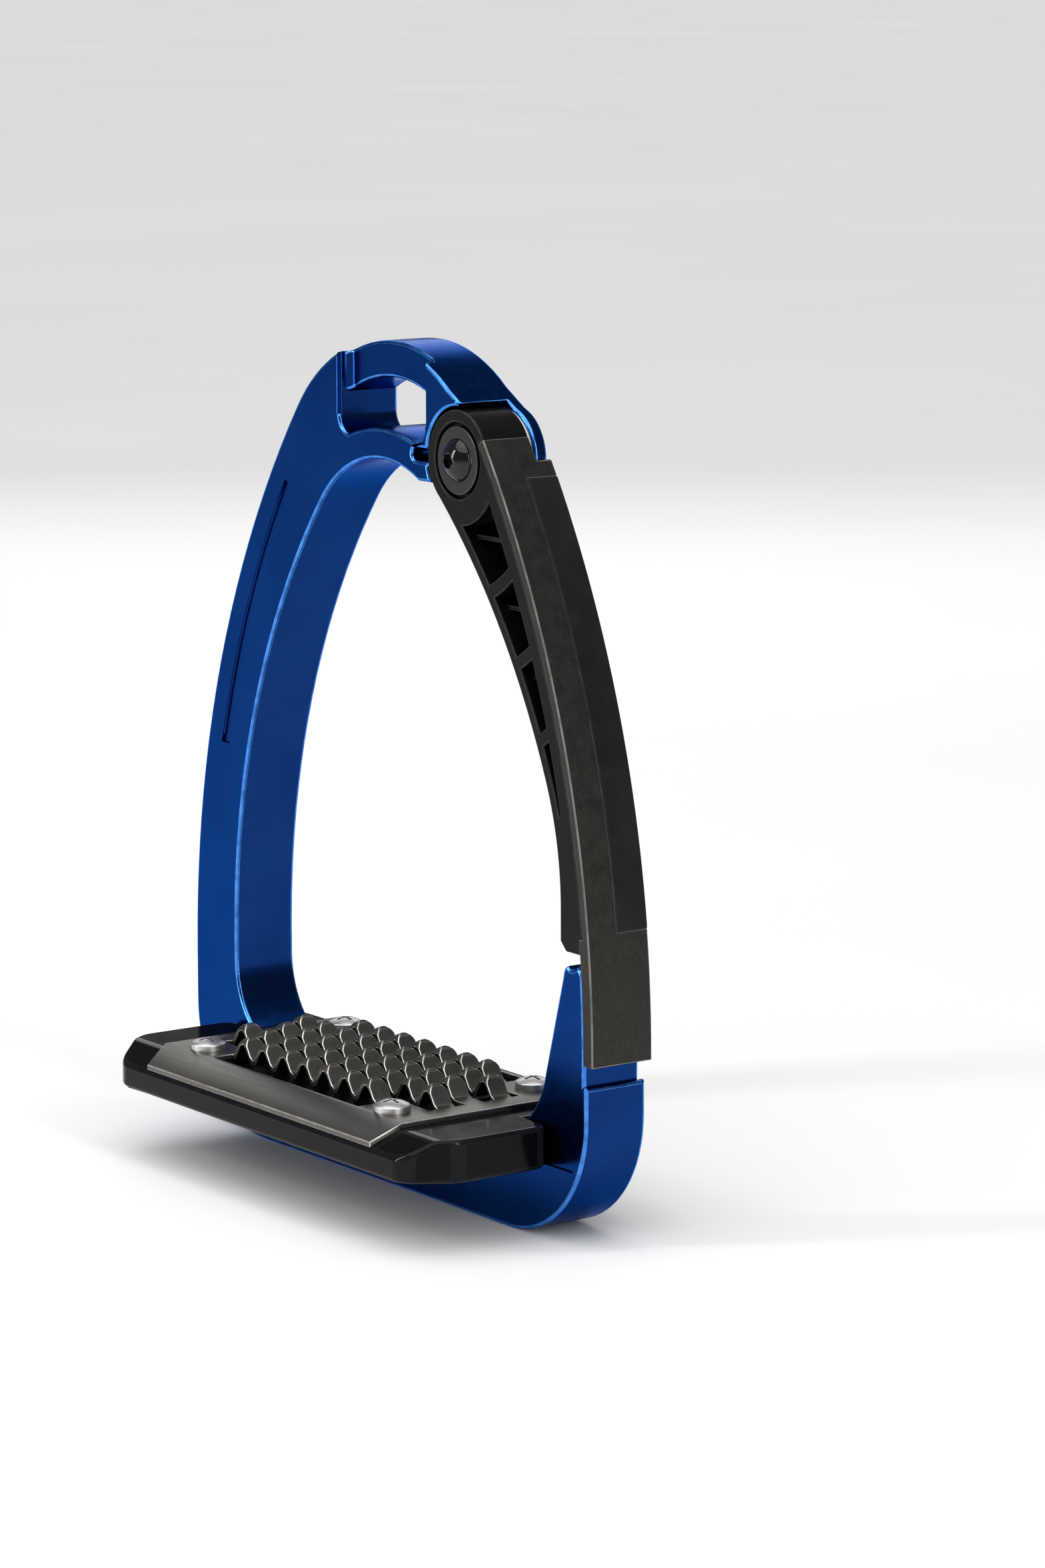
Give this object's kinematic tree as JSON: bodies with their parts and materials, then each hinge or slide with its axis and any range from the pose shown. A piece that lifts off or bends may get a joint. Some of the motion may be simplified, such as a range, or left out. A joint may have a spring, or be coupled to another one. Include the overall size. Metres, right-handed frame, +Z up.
{
  "type": "safety stirrup iron",
  "caption": "Safety stirrup with an arched frame, a toothed footbed set forward, and a sprung outer arm that swings open from a latch so the foot comes free.",
  "frame": {"origin": "middle of the base bar on its underside, in the mid plane of the frame", "axes": "+X toward the side that opens, +Y to the back, +Z up; the wide side of the footbed lies toward -Y"},
  "size_m": [0.1544, 0.06, 0.186],
  "materials": {
    "frame_blue": "blue anodised, satin",
    "tray_black": "gloss",
    "plate_steel": "satin, worn",
    "screw_steel": "polished",
    "insert_brass": "turned",
    "hidden_steel": "plain",
    "black_steel": "gloss black",
    "arm_black": "satin black",
    "cover_grey": "dark grey, grained",
    "inlay_black": "satin",
    "bearing_plastic": "plain",
    "spring_steel": "bright drawn",
    "pad_rubber": "matt"
  },
  "bodies": {
    "iron": {"frame": "frame_blue", "tray": "tray_black", "grip_plate": "plate_steel", "plate_screws": "screw_steel", "plate_inserts": "insert_brass", "tray_bolts": "hidden_steel", "tray_washers": "hidden_steel", "pivot_barrel": "screw_steel", "pivot_screw": "black_steel", "pivot_washer": "black_steel", "thrust_washer": "bearing_plastic", "torsion_spring": "spring_steel", "stop_pad": "pad_rubber"},
    "arm": {"arm_body": "arm_black", "pivot_bush": "bearing_plastic", "arm_cover": "cover_grey", "arm_inlay": "inlay_black", "cover_pins": "hidden_steel", "latch_guide": "bearing_plastic", "latch_spring": "spring_steel"},
    "latch": {"latch_plunger": "screw_steel"}
  },
  "joints": [
    {"name": "arm_hinge", "type": "hinge", "parent": "iron", "child": "arm", "pos_m": [0.0286, 0, 0.16287], "axis": [0, -1, 0], "range_deg": [0, 60], "stiffness_Nm_per_rad": 0.25, "springref_deg": -20.05, "deforming": ["torsion_spring"]},
    {"name": "latch_slide", "type": "slide", "parent": "arm", "child": "latch", "axis": [0, 0, 1], "range_m": [0, 0.002], "stiffness_N_per_m": 150, "springref_m": -0.004, "deforming": ["latch_spring"]}
  ]
}
